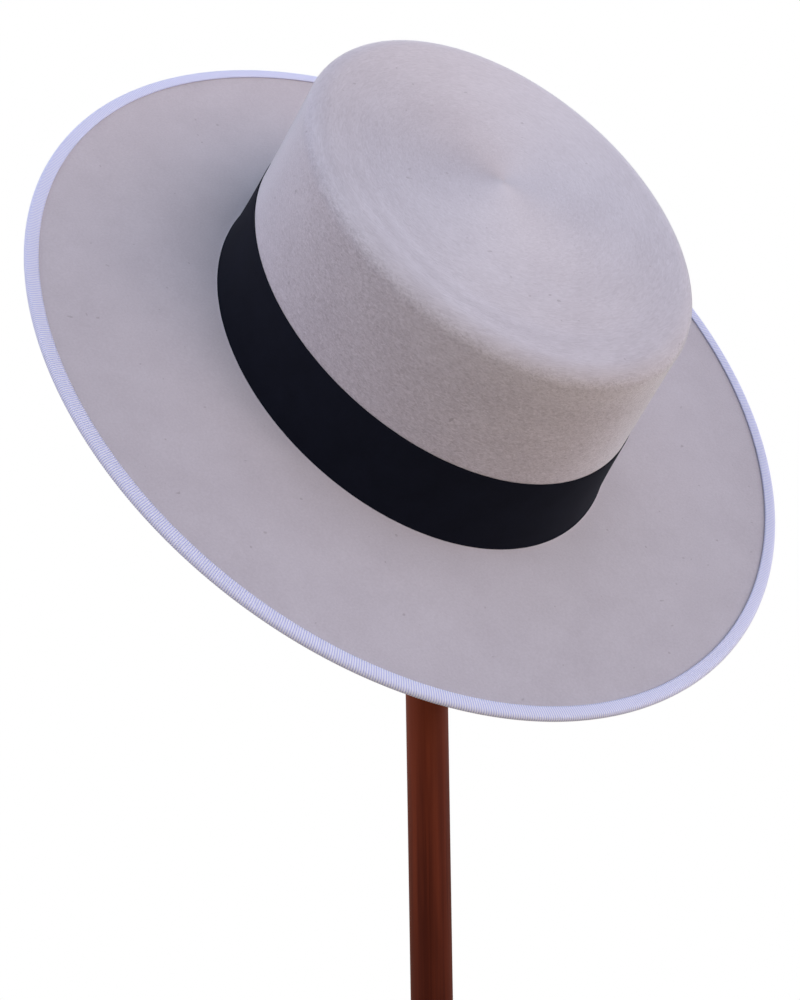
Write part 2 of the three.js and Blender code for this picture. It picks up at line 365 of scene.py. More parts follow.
def make_felt():
    """Outer face from the tip to the brim's edge, then the inner face back to the tip from below. The
    inner face has half as many rings, since little of it is ever seen."""
    ovals, heights, normals, waves = felt_stations()
    outer = rings(ovals, heights, waves, round_angle)
    share = top_shares()
    outer[:len(share), :, 2] += top_ripple(share, round_angle)
    inside, low = inner_face(ovals, heights, normals)
    kept = EVERY_SECOND_BACKWARD
    inner = rings(inside[kept], low[kept], waves[kept], round_angle)
    grid = np.concatenate([outer, inner])
    tip = np.array([-TOP_TIP[3], TOP_TIP[2], top_height(0.0)])
    points = np.concatenate([grid.reshape(-1, 3), [tip, tip - [0, 0, FELT_WALL]]])
    rows = len(grid)
    quads = ring_quads(rows, AROUND, closed=False)
    fans = end_fans(rows, AROUND, rows * AROUND, rows * AROUND + 1)
    return add_piece("felt_body", in_place(points), quads, fans, points * MM)


felt_body = make_felt()

# %% [markdown]
# ## The black ribbon
#
# A plain ribbon is wrapped tight round the foot of the crown. It follows the leaning wall, and its
# lower edge is pushed out by the small curve where the crown turns into the brim. A cloth simulation
# would end in the same place, because a tight ribbon has nowhere to hang, so it is worked out directly.

# %% Hat band
BAND_TOP = 34.6
BAND_FOOT = 0.4
BAND_GAP = 0.05
BAND_THICKNESS = 0.3
BAND_STEPS = 25
BAND_CROWDING = 1.5
BAND_EDGE_STEPS = 5


def break_growth(height):
    """How far the curve at the crown's foot stands out of the wall at a height: a quarter circle."""
    drop = np.clip(BREAK_RADIUS - height, 0, None)
    return BREAK_RADIUS - np.sqrt(BREAK_RADIUS**2 - drop**2)


def make_band():
    """A closed thin ring: up the inner side, over the round upper edge, down the outer side and round
    the lower edge. Each of the two edges is a half circle."""
    way_up = np.linspace(0, 1, BAND_STEPS) ** BAND_CROWDING
    height = BAND_FOOT + (BAND_TOP - BAND_FOOT) * way_up
    edge = np.linspace(0, math.pi, BAND_EDGE_STEPS)[1:-1]
    half = BAND_THICKNESS / 2
    inner_side = np.full(len(height), BAND_GAP)
    outer_side = inner_side + BAND_THICKNESS
    section_height = np.concatenate([
        height, BAND_TOP + half * np.sin(edge), height[::-1], BAND_FOOT - half * np.sin(edge),
    ])
    out = np.concatenate([
        inner_side, BAND_GAP + half - half * np.cos(edge),
        outer_side, BAND_GAP + half + half * np.cos(edge),
    ])
    growth = out + break_growth(section_height)
    ovals = wall_oval(section_height) + growth[:, None] * GROW
    grid = rings(ovals, section_height, np.zeros(len(ovals)), round_angle)
    points = grid.reshape(-1, 3)
    quads = ring_quads(len(grid), AROUND, closed=True)
    return add_piece("black_ribbon_band", in_place(points), quads, places=points * MM)


hat_band = make_band()

# %% [markdown]
# ## How long a ribbon is
#
# A ribbon is cut flat before it is sewn on. Its cut length is the length round the hat where it lies.
# An oval has no short formula for that, so many small steps along it are added up.

# %% Length round an oval
FINE_STEPS = 20001


def lengths_along(oval):
    """Lengths in mm from the front along an oval's edge, and the angles at which they are reached."""
    fine = np.linspace(0, 2 * math.pi, FINE_STEPS)
    edge = rings(oval[None, :], np.zeros(1), np.zeros(1), fine)[0]
    steps = np.linalg.norm(np.diff(edge, axis=0), axis=1)
    return np.concatenate([[0], np.cumsum(steps)]), fine


def length_round(oval):
    """The whole length in mm round an oval's edge."""
    return lengths_along(oval)[0][-1]


BAND_CUT = ((BAND_TOP - BAND_FOOT) * MM, length_round(wall_oval([BAND_TOP / 2])[0]) * MM)
print("band as cut, in metres:", BAND_CUT)

# %% [markdown]
# ## The ribbed binding
#
# The brim's edge is bound with a ribbon that has fine cross ribs. It is folded over the edge and sewn
# flat on both sides. A bump in the material could stand for the ribs, but they break up the hat's
# outline, so they are real geometry: the surface swells and sinks by about an eighth of a millimetre
# along the edge, with five points to each rib. The ribs lean a little over the lap, and a shallow dip
# follows the sewn line.

# %% Ribs and section
RIB_PITCH = 0.96
RIB_SHAPE = np.array([0.0, 0.75, 1.0, 1.0, 0.75])
RIB_HEIGHT = 0.13
RIB_MIDDLE = 0.7
RIB_SLANT = 0.8
SLANT_POWER = 1.3
SEWN_LINE = -3.3
SEWN_DEPTH = 0.12
BINDING_HALF = 1.5
BINDING_INNER_HALF = 0.95
BINDING_OVERLAP = 4.1
BINDING_EDGE_CENTRE = -0.2
FOLD_STEPS = 7


def binding_section():
    """The U-shaped section as four columns: millimetres out from the brim's edge, millimetres up from
    its middle, and how far the outer side's normal points out and up. The outer side comes first: a
    lap, a half circle round the fold and the lap below. The smooth inner side has no normal."""
    fold = np.linspace(QUARTER_TURN, -QUARTER_TURN, FOLD_STEPS)
    inner_fold = fold[::-3]
    lap = np.array([-BINDING_OVERLAP, SEWN_LINE, -BINDING_OVERLAP / 2])
    lap_up = np.array([BINDING_HALF - SEWN_DEPTH / 2, BINDING_HALF - SEWN_DEPTH, BINDING_HALF])
    still, level = np.zeros(len(inner_fold) + 2), np.zeros(len(lap))
    out = np.concatenate([
        lap, BINDING_EDGE_CENTRE + BINDING_HALF * np.cos(fold), lap[::-1],
        lap[:1], BINDING_EDGE_CENTRE + BINDING_INNER_HALF * np.cos(inner_fold), lap[:1],
    ])
    up = np.concatenate([
        lap_up, BINDING_HALF * np.sin(fold), -lap_up[::-1],
        [-BINDING_INNER_HALF], BINDING_INNER_HALF * np.sin(inner_fold), [BINDING_INNER_HALF],
    ])
    normal_out = np.concatenate([level, np.cos(fold), level, still])
    normal_up = np.concatenate([level + 1, np.sin(fold), level - 1, still])
    return out, up, normal_out, normal_up


print("points in the binding's section:", len(binding_section()[0]))

# %% Brim binding
def even_angles(oval, count):
    """Angles that cut the oval's edge into equal lengths, looked up from the lengths along it."""
    length, fine = lengths_along(oval)
    return np.interp(np.arange(count) / count * length[-1], length, fine)


def make_binding():
    """The section carried round the brim's edge. Each point moves along its normal by the rib's height
    times the rib's shape there, and round the edge by a slant that grows with the distance from the
    fold's nose."""
    out, up, normal_out, normal_up = binding_section()
    ribs = round(length_round(BRIM_EDGE) / RIB_PITCH)
    columns = ribs * len(RIB_SHAPE)
    angle = even_angles(BRIM_EDGE, columns)
    to_nose = np.hypot(out - out.max(), up)
    slant = RIB_SLANT * (to_nose / to_nose.max()) ** SLANT_POWER / BRIM_EDGE[0]
    grid = np.concatenate([
        rings(oval[None, :], np.array([BRIM_EDGE_HEIGHT + rise]), np.ones(1), angle + turn)
        for oval, rise, turn in zip(BRIM_EDGE + out[:, None] * GROW, up, slant)
    ])
    rib = np.tile(RIB_SHAPE, ribs)
    swell = RIB_HEIGHT * (rib - RIB_MIDDLE)
    outward = np.stack([np.sin(angle), np.cos(angle), np.zeros(columns)], axis=-1)
    upward = np.array([0, 0, 1.0])
    normal = normal_out[:, None, None] * outward + normal_up[:, None, None] * upward
    grid = grid + swell[None, :, None] * normal
    points = grid.reshape(-1, 3)
    quads = ring_quads(len(grid), columns, closed=True)
    rib_everywhere = np.broadcast_to(rib, (len(grid), columns))
    return add_piece("ribbed_binding", in_place(points), quads, places=points * MM, rib=rib_everywhere)


brim_binding = make_binding()
BINDING_CUT = (
    (2 * BINDING_OVERLAP + math.pi * BINDING_HALF) * MM,
    length_round(BRIM_EDGE) * MM,
)
print("binding as cut, in metres:", BINDING_CUT)

# %% [markdown]
# ## The turned stand
#
# Pole and foot are turned wood, so each is a profile of radius and height carried once round the
# upright axis, as a lathe does it. A Screw modifier could do the same to a drawn profile. Their sizes
# come from the boxes of their plain solids, so they can't drift away from the solid model.

# %% Turning
def turned(name, radius, height, columns):
    """A profile from one end on the axis to the other, carried round the z axis: x and y are the radius
    times the cosine and the sine of the turn."""
    turn = np.linspace(0, 2 * math.pi, columns, endpoint=False)
    x = radius[1:-1, None] * np.cos(turn)
    y = radius[1:-1, None] * np.sin(turn)
    z = np.broadcast_to(height[1:-1, None], x.shape)
    grid = np.stack([x, y, z], axis=-1)
    ends = [[0, 0, height[0]], [0, 0, height[-1]]]
    points = np.concatenate([grid.reshape(-1, 3), ends]) * MM
    rows = len(grid)
    fans = end_fans(rows, columns, rows * columns, rows * columns + 1)
    return add_piece(name, points, ring_quads(rows, columns, closed=False), fans)


# %% Pole
ARC_STEPS = 13
POLE_STEPS = 40
POLE_SIDES = 64
POLE_FOOT_EDGE = 0.4


def make_pole():
    """A straight rod with a flat foot and a round end, which is a quarter circle."""
    dome = np.linspace(0, QUARTER_TURN, ARC_STEPS)[1:]
    foot = POLE_LOW.z / MM
    shoulder = POLE_TOP - POLE_RADIUS
    straight = np.linspace(foot, shoulder, POLE_STEPS)
    radius = np.concatenate([
        [0, POLE_RADIUS - POLE_FOOT_EDGE], np.full(POLE_STEPS, POLE_RADIUS), POLE_RADIUS * np.cos(dome),
    ])
    height = np.concatenate([[foot, foot], straight, shoulder + POLE_RADIUS * np.sin(dome)])
    return turned("turned_pole", radius[::-1], height[::-1], POLE_SIDES)


stand_pole = make_pole()

# %% Base
BASE_ROUNDING = 6.0
BASE_CHAMFER = 1.5
SOCKET_GAP = 0.3
DISC_STEPS = 12
BASE_SIDES = 128


def make_base():
    """A disc with a chamfered foot and an upper edge rounded by a quarter circle, and a socket for the
    pole."""
    low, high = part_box("stand_base")
    outer, thick = (high.x - low.x) / 2 / MM, high.z / MM
    socket = POLE_RADIUS + SOCKET_GAP
    floor = POLE_LOW.z / MM - SOCKET_GAP
    arc = np.linspace(QUARTER_TURN, 0, ARC_STEPS)
    disc = np.linspace(socket, outer - BASE_ROUNDING, DISC_STEPS)[1:-1]
    radius = np.concatenate([
        [0, socket, socket], disc, outer - BASE_ROUNDING + BASE_ROUNDING * np.cos(arc),
        [outer, outer - BASE_CHAMFER, 0],
    ])
    height = np.concatenate([
        [floor, floor, thick], np.full(len(disc), thick),
        thick - BASE_ROUNDING + BASE_ROUNDING * np.sin(arc), [BASE_CHAMFER, 0, 0],
    ])
    return turned("turned_base", radius, height, BASE_SIDES)


stand_base = make_base()

# %% [markdown]
# ## Shader maths as Python
#
# A material is a small program of nodes. Wrapping a socket in a class lets the program read as plain
# arithmetic: an expression such as `1 - mask` adds its own Math node. Python asks the left side first,
# so `1 - mask` needs the reflected form of the subtraction too.

# %% Shader helper
class Wire:
    """An output socket in a material's node tree. Arithmetic on it adds Math nodes."""

    def __init__(self, tree, socket=None):
        self.tree = tree
        self.socket = socket

    def node(self, kind, settings=None, inputs=None, output=0):
        """Adds a node: its settings first, then the values or wires of its inputs, by name or number."""
        made = self.tree.nodes.new(kind)
        for name, value in (settings or {}).items():
            setattr(made, name, value)
        for name, value in (inputs or {}).items():
            feed(self.tree, made.inputs[name], value)
        return Wire(self.tree, made.outputs[output])

    def math(self, operation, *values):
        """The result of a Math node on plain values or wires."""
        return self.node("ShaderNodeMath", {"operation": operation}, dict(enumerate(values)))

    def vector(self, operation, *values, output=0):
        """The result of a Vector Math node. A length comes out of its output named Value."""
        return self.node("ShaderNodeVectorMath", {"operation": operation}, dict(enumerate(values)), output)

    def length(self):
        """The length of this vector."""
        return self.vector("LENGTH", self, output="Value")

    def axis(self, name):
        """This vector's part along X, Y or Z."""
        return self.node("ShaderNodeSeparateXYZ", {}, {0: self}, name)

    def mix(self, factor, first, second):
        """The colour between two colours."""
        return self.node("ShaderNodeMix", {"data_type": "RGBA"}, {0: factor, 6: first, 7: second}, 2)

    def __add__(self, other):
        return self.math("ADD", self, other)

    def __radd__(self, other):
        return self.math("ADD", other, self)

    def __sub__(self, other):
        return self.math("SUBTRACT", self, other)

    def __rsub__(self, other):
        return self.math("SUBTRACT", other, self)

    def __mul__(self, other):
        return self.math("MULTIPLY", self, other)

    def __rmul__(self, other):
        return self.math("MULTIPLY", other, self)

    def __truediv__(self, other):
        return self.math("DIVIDE", self, other)

    def __pow__(self, other):
        return self.math("POWER", self, other)


def feed(tree, socket, value):
    """Links a wire to a socket, or sets a plain value on it."""
    if isinstance(value, Wire):
        tree.links.new(value.socket, socket)
    else:
        socket.default_value = value


# %% Materials, colours and bumps
def new_material(name):
    """An empty material, its tree and its Principled shader."""
    material = bpy.data.materials.new(name)
    material.use_nodes = True
    return material, material.node_tree, material.node_tree.nodes["Principled BSDF"]


def colour(red, green, blue):
    """A colour from the 0 to 255 values of a screen, as the linear values that shaders use."""
    def linear(value):
        """The screen's curve undone: straight near black, and above it a power of 2.4."""
        value = value / 255
        return value / 12.92 if value <= 0.04045 else ((value + 0.055) / 1.055) ** 2.4
    return (linear(red), linear(green), linear(blue), 1.0)


def add_bump(shader, height, strength, distance):
    """Feeds the shader's Normal with a bump that follows the height."""
    values = {"Strength": strength, "Distance": distance, "Height": height}
    feed(height.tree, shader.inputs["Normal"], height.node("ShaderNodeBump", {}, values))


print("half grey on the screen is, as a linear value:", round(colour(128, 128, 128)[0], 3))

# %% Masks and noise
def smooth_step(value, low, high):
    """0 below low, 1 above high, and a smooth rise between."""
    return value.node("ShaderNodeMapRange", {"interpolation_type": "SMOOTHSTEP"}, {0: value, 1: low, 2: high})


def noise(place, scale, detail=3.0, warp=0.0, rough=0.55):
    """A cloud of random values around 0.5."""
    values = {"Vector": place, "Scale": scale, "Detail": detail, "Distortion": warp, "Roughness": rough}
    return place.node("ShaderNodeTexNoise", {"normalize": True}, values)


def stretched(place, scales, detail=3.0, warp=0.0):
    """Noise with a scale of its own along each axis, so that its grains are long or flat."""
    return noise(place.vector("MULTIPLY", place, scales), 1.0, detail, warp)


def hat_place(tree):
    """Where a point lies on the upright hat, in metres, from the attribute that the mesh carries."""
    return Wire(tree).node("ShaderNodeAttribute", {"attribute_name": "hat_place"}, output="Vector")


# %% [markdown]
# ## The felt: one skin, three zones
#
# Felt is one skin, but it looks different from place to place. The top is brushed round its middle,
# the wall has long loose curls, and the brim is pressed smooth. Three materials would show a border,
# so one material first works out how much a point belongs to each zone, and every later step weighs
# its effect with those shares. A direction round the tip, split into its front and right parts, tells
# the sides of the hat apart without a seam.

# %% Zones of the felt
# heights in metres between which a zone begins
TOP_BEGINS = (0.0800, 0.0875)
WALL_BEGINS = (0.0020, 0.0080)
TIP_PLACE = (0.0009, -0.0049, 0.0)
BACK_BEGINS = (-0.35, 0.55)


def felt_zones(tree):
    """The point's place and height, its shares of top, wall, brim and back, its distance from the tip
    and the front and right parts of its direction from the tip, by name."""
    place = hat_place(tree)
    height = place.axis("Z")
    top = smooth_step(height, *TOP_BEGINS)
    brim = 1 - smooth_step(height, *WALL_BEGINS)
    from_tip = place.vector("MULTIPLY", place.vector("SUBTRACT", place, TIP_PLACE), (1, 1, 0))
    around = from_tip.vector("NORMALIZE", from_tip)
    front = around.axis("Y")
    return {
        "place": place, "height": height, "top": top, "brim": brim, "wall": 1 - top - brim,
        "radius": from_tip.length(), "front": front, "right": around.axis("X"),
        "back": smooth_step(-1.0 * front, *BACK_BEGINS),
    }


# %% [markdown]
# ## The felt: painted light and shade of the nap
#
# Nap that leans toward the eye looks darker than nap that leans away. On the top, which was brushed
# round its tip, that gives soft wedges of light and shade. Real hairs would show it by themselves, but
# they need millions of strands. Here the wedges are painted light and shade in the colour: waves
# round the tip, once and twice round, fitted to the photograph. So they are a likeness from its side,
# and only plausible from the others.

# %% Painted light and shade of the nap on the top
# columns: share of the front part, share of the right part
NAP_SHADE_ONCE_ROUND = (0.031, -0.0315)
# columns: share of the cosine and of half the sine of twice the angle
NAP_SHADE_TWICE_ROUND = (0.0284, 0.1134)
NAP_SHADE_AT_TIP = 0.0575
NAP_SHADE_OUTWARD = 1.56
TIP_FADES = (0.0005, 0.0040)


def painted_nap_light(zone):
    """Painted light and shade on the top, as how much paler it looks: a wave once round the tip, a wave
    twice round it, and a front part that turns from paler to darker with the distance from the tip. At
    the tip itself all of it fades."""
    front, right, radius = zone["front"], zone["right"], zone["radius"]
    once = NAP_SHADE_ONCE_ROUND[0] * front + NAP_SHADE_ONCE_ROUND[1] * right
    twice = NAP_SHADE_TWICE_ROUND[0] * (front * front - right * right) + NAP_SHADE_TWICE_ROUND[1] * (front * right)
    laid = (NAP_SHADE_AT_TIP - NAP_SHADE_OUTWARD * radius) * front
    return (once + twice + laid) * smooth_step(radius, *TIP_FADES) * zone["top"]


# %% [markdown]
# ## The felt: painted light and shade on wall and rim
#
# The wall has painted light and shade: it is paler toward the back and just under the rim at the
# front, and darker on the near side. A painted highlight lies on the corner at the right. Inside the
# rim runs a crease, faint at the back and clearer on the near right. It is so shallow that a darker
# line of painted shade says more than geometry would.

# %% Painted light and shade on the wall
WALL_BACK_GAIN = 0.10
WALL_FAR_BACK_GAIN = 0.29
FAR_BACK_BEGINS = (0.35, 0.80)
WALL_NEAR_LOSS = 0.05
# columns: front part and right part of the direction in which the wall is darkest
WALL_NEAR = (0.62, 0.79)
UNDER_RIM_GAIN = 0.10
UNDER_RIM_BEGINS = (0.069, 0.080)


def painted_wall_light(zone):
    """Painted light and shade on the wall, as how much paler it looks: more toward the back, less by the
    fourth power of a cosine on the near side and opposite it, and more under the rim by the eighth
    power of a raised cosine."""
    front, right = zone["front"], zone["right"]
    glow = WALL_BACK_GAIN * zone["back"] + WALL_FAR_BACK_GAIN * smooth_step(-1.0 * front, *FAR_BACK_BEGINS)
    glow = glow - WALL_NEAR_LOSS * (WALL_NEAR[0] * front + WALL_NEAR[1] * right) ** 4.0
    under_rim = smooth_step(zone["height"], *UNDER_RIM_BEGINS)
    return glow + UNDER_RIM_GAIN * under_rim * (0.5 + 0.5 * front) ** 8.0


# %% Painted highlight on the corner and painted shade in the crease
CORNER_BEGINS = (0.0820, 0.0865)
CORNER_ENDS = (0.0873, 0.0887)
CORNER_GAIN = 0.10
CORNER_RIGHT = (0.60, 0.95)
# half width and half length of the corner's oval, in metres
CORNER_OVAL = (0.0697, 0.0854)
CREASE_BEGINS = (0.84, 0.91)
CREASE_ENDS = (0.91, 0.97)
CREASE_LOSS = 0.07


def within_oval(place, half_width, half_length):
    """0 in the middle of an oval and 1 at its edge: the length of the place over the half sizes."""
    return place.vector("MULTIPLY", place, (1 / half_width, 1 / half_length, 0)).length()


def painted_corner_light_and_crease_shade(zone):
    """A painted highlight, a paler band on the corner at the right, less a darker line of painted shade a
    little inside the rim along the crease, which fades with the third power of a slanting ramp away
    from the near right."""
    height, front, right = zone["height"], zone["front"], zone["right"]
    corner = smooth_step(height, *CORNER_BEGINS) - smooth_step(height, *CORNER_ENDS)
    oval = within_oval(zone["place"], *CORNER_OVAL)
    crease = smooth_step(oval, *CREASE_BEGINS) - smooth_step(oval, *CREASE_ENDS)
    near_right = (0.5 + 0.32 * front + 0.38 * right) ** 3.0
    # painted highlight on the corner, then the crease's painted shade taken off
    pale = corner * CORNER_GAIN * smooth_step(right, *CORNER_RIGHT)
    return pale - zone["top"] * crease * CREASE_LOSS * near_right


# %% [markdown]
# ## The felt: fibres
#
# Close up, felt is a mat of fibres: curls on the wall, strokes round the tip on the top and a fine
# even grain on the brim, with a few darker hairs caught in it. All are noise. What makes each look
# different is how the noise is stretched: evenly, flat, or along circles round the tip. The same noise
# feeds the colour and the bump, so a fibre is pale where it stands up.

# %% Grain of the felt
CURL_SCALES = (620, 620, 1500)
STROKES_ROUND = 20
STROKES_OUTWARD = 1300
FINE_SCALE = 1100.0
SPECK_SCALE = 420.0
SPECK_BEGINS = (0.83, 0.88)
CURLS_END = (0.0840, 0.0885)


def felt_fibres(zone):
    """Curls, strokes round the tip and fine grain as three noises, and where the felt has curls."""
    place, radius = zone["place"], zone["radius"]
    curls = stretched(place, CURL_SCALES, 3.0, 1.2)
    round_tip = {0: zone["right"] * STROKES_ROUND, 1: zone["front"] * STROKES_ROUND,
                 2: radius * STROKES_OUTWARD}
    strokes = noise(radius.node("ShaderNodeCombineXYZ", {}, round_tip), 1.0, 3.0, 1.0)
    fine = noise(place, FINE_SCALE, 3.0)
    curly = 1 - zone["brim"] - smooth_step(zone["height"], *CURLS_END)
    return curls, strokes, fine, curly


def felt_grain(zone, fibres):
    """The fibres' part of the tone: each noise less its mean, weighed by where it shows. The curls are
    weaker toward the back."""
    curls, strokes, fine, curly = fibres
    on_wall = (curls - 0.5) * curly * (2.2 - 1.2 * zone["back"])
    return on_wall + (strokes - 0.5) * zone["top"] * 0.9 + (fine - 0.5) * zone["brim"] * 0.5


# %% [markdown]
# ## The felt: paleness and painted tint
#
# In the photograph the brim is a little paler near the crown and duller toward its edge, and the
# colour's hue drifts a little from zone to zone as a painted tint of the light. Both are slow changes
# over the whole hat, so they are plain functions of the place, and no picture is needed.

# %% Paleness and painted tint of the light
# half width and half length of the brim's edge, in metres
BRIM_OVAL = (0.162, 0.176)
# columns: at the middle of the hat, lost by the brim's edge
BRIM_PALENESS = (0.713, 0.783)
WALL_PALENESS = 0.11
TOP_PALENESS = 0.18
TOP_COOL_FRONT = 0.017
TOP_COOL_TWICE = 0.0355
WALL_WARMTH = 0.035
BRIM_WARMTH = 0.06
BRIM_WARM_BEGINS = (0.30, 0.95)


def zone_paleness(zone):
    """How much paler each zone is: evenly on the wall and on the top, and on the brim falling evenly from
    the crown to the edge.
    """
    out = within_oval(zone["place"], *BRIM_OVAL)
    on_brim = zone["brim"] * (BRIM_PALENESS[0] - BRIM_PALENESS[1] * out)
    return on_brim + zone["wall"] * WALL_PALENESS + zone["top"] * TOP_PALENESS


def painted_light_tint(zone):
    """A painted tint of the light to multiply with: as much more blue as less red, by half of how cool
    the place is.
    """
    front, right = zone["front"], zone["right"]
    cool = zone["top"] * (TOP_COOL_FRONT * front - TOP_COOL_TWICE * (front * front - right * right))
    cool = cool - zone["wall"] * WALL_WARMTH
    cool = cool - zone["brim"] * BRIM_WARMTH * smooth_step(-1.0 * front, *BRIM_WARM_BEGINS)
    return cool.node("ShaderNodeCombineXYZ", {}, {0: 1 - cool / 2, 1: 1.0, 2: 1 + cool / 2})


# %% Felt material
FELT_DARK = colour(178, 171, 180)
FELT_PALE = colour(216, 211, 220)
FELT_TONE = 0.45
SHADING_GAIN = 2.4
# painted light on the brim, paler toward the wearer's right
BRIM_RIGHT_PAINTED_LIGHT = 0.045


def felt_material():
    """Brushed felt. The tone between its dark and its pale colour is the sum of grain, clouds, each zone's
    paleness and 2.4 times the painted light and shade, less the specks. A painted tint of the light
    multiplies the colour. Sheen lights the fuzz at its edges."""
    material, tree, shader = new_material("brushed_felt")
    zone = felt_zones(tree)
    place, top, brim = zone["place"], zone["top"], zone["brim"]
    # painted light and shade: the nap on the top, the wall, the corner's highlight and the crease
    shading = painted_nap_light(zone) + (zone["wall"] * painted_wall_light(zone) + painted_corner_light_and_crease_shade(zone))
    # painted light on the brim, paler toward the wearer's right
    shading = shading + brim * BRIM_RIGHT_PAINTED_LIGHT * zone["right"] ** 3.0
    fibres = felt_fibres(zone)
    cloud = noise(place, 55.0, 3.0)
    speck = smooth_step(noise(place, SPECK_SCALE, 0.0), *SPECK_BEGINS)
    tone = FELT_TONE + felt_grain(zone, fibres) + (cloud - 0.5) * 0.35 + zone_paleness(zone)
    tone = tone + SHADING_GAIN * shading - 0.5 * speck
    tint = place.mix(tone, FELT_DARK, FELT_PALE)
    # a painted tint of the light, cooler or warmer from zone to zone
    feed(tree, shader.inputs["Base Color"], tint.vector("MULTIPLY", tint, painted_light_tint(zone)))
    curls, strokes, fine, curly = fibres
    add_bump(shader, curls * curly + strokes * top * 0.5 + fine * brim * 0.25, 0.7, 0.0004)
    shader.inputs["Roughness"].default_value = 1.0
    shader.inputs["Specular IOR Level"].default_value = 0.1
    shader.inputs["Sheen Weight"].default_value = 0.7
    shader.inputs["Sheen Roughness"].default_value = 0.3
    shader.inputs["Sheen Tint"].default_value = (1, 1, 1, 1)
    return material


brushed_felt = felt_material()
print("nodes in the felt:", len(brushed_felt.node_tree.nodes))

# %% [markdown]
# ## The two ribbons
#
# The black ribbon is a dull weave, so fine that it shows only as a slight unevenness. A weave of real
# threads would be lost at this distance, so noise stretched across the ribbon stands for it.
#
# The pale ribbon has its ribs as geometry already. Its material only reads how high a point stands on
# its rib: a painted highlight on top of a rib, and painted shade, bluer and darker, between the ribs.
# Toward the wearer's left the ribbon has painted shade and is a little duller.

# %% Black ribbon
WEAVE_SCALES = (2600, 2600, 900)
BLACK_DEEP = colour(13, 15, 24)
BLACK_WORN = colour(25, 28, 41)


def band_material():
    """Black ribbon: the tone is three fifths clouds and two fifths weave, and the weave is the bump."""
    material, tree, shader = new_material("black_ribbon")
    place = hat_place(tree)
    weave = stretched(place, WEAVE_SCALES, 1.0)
    cloud = noise(place, 90.0, 2.0)
    feed(tree, shader.inputs["Base Color"], place.mix(cloud * 0.6 + weave * 0.4, BLACK_DEEP, BLACK_WORN))
    add_bump(shader, weave, 0.3, 0.0001)
    shader.inputs["Roughness"].default_value = 0.8
    shader.inputs["Specular IOR Level"].default_value = 0.06
    shader.inputs["Sheen Weight"].default_value = 0.01
    return material


black_ribbon = band_material()
print("nodes in the black ribbon:", len(black_ribbon.node_tree.nodes))

# %% Pale ribbon
# painted shade in the grooves and a painted highlight on the ridges
GROOVE_SHADE_TINT = colour(172, 176, 240)
RIDGE_HIGHLIGHT_TINT = colour(238, 240, 255)
THREAD_TINT = colour(209, 214, 253)
# painted shade toward the wearer's left
LEFT_SHADE_TINT = colour(150, 158, 196)
LEFT_SHADE_BEGINS = (0.09, 0.16)
LEFT_SHADE_SHARE = 0.22


def binding_material():
    """Ribbed ribbon: a mix from painted shade in the groove to a painted highlight on the ridge by the
    rib's height, then a little thread by a fine noise, then painted shade toward the left."""
    material, tree, shader = new_material("pale_ribbon")
    place = hat_place(tree)
    rib = place.node("ShaderNodeAttribute", {"attribute_name": "rib"}, output="Fac")
    thread = noise(place, 1500.0, 2.0)
    # painted shade in the grooves and a painted highlight on the ridges
    tint = place.mix(rib, GROOVE_SHADE_TINT, RIDGE_HIGHLIGHT_TINT)
    tint = place.mix((thread - 0.4) * 0.4, tint, THREAD_TINT)
    # painted shade toward the wearer's left
    left = -1.0 * place.axis("X")
    tint = place.mix(smooth_step(left, *LEFT_SHADE_BEGINS) * LEFT_SHADE_SHARE, tint, LEFT_SHADE_TINT)
    feed(tree, shader.inputs["Base Color"], tint)
    shader.inputs["Roughness"].default_value = 0.65
    shader.inputs["Specular IOR Level"].default_value = 0.25
    return material


pale_ribbon = binding_material()
print("nodes in the pale ribbon:", len(pale_ribbon.node_tree.nodes))

# %% [markdown]
# ## The stained wood
#
# Both turned pieces are stained red brown under a thin varnish. Grain is noise stretched a long way
# along the wood, once coarse for the streaks and once fine for the pores. In the pole it runs
# upright. The base is taken to be a board that lies flat, so its grain is turned by a quarter. Light
# is painted into the pole's stain: it is paler further up and on the side away from +X.

# %% Wood
STREAK_SCALES = (260, 260, 6)
PORE_SCALES = (1500, 1500, 40)
CLOUD_SCALES = (60, 60, 14)
STAIN_DARK = colour(80, 31, 19)
STAIN_PALE = colour(120, 52, 30)
PORE_TINT = colour(56, 17, 10)
# heights in metres between which painted light makes the pole paler, and by how much
PAINTED_LIGHT_BEGINS = (0.150, 0.180)
PAINTED_LIGHT_STEP = 0.4
# painted light for each metre: upward from the height below, and away from +X
PAINTED_LIGHT_FROM = 0.15
PAINTED_LIGHT_UPWARD = 4
PAINTED_LIGHT_SIDEWAYS = 20


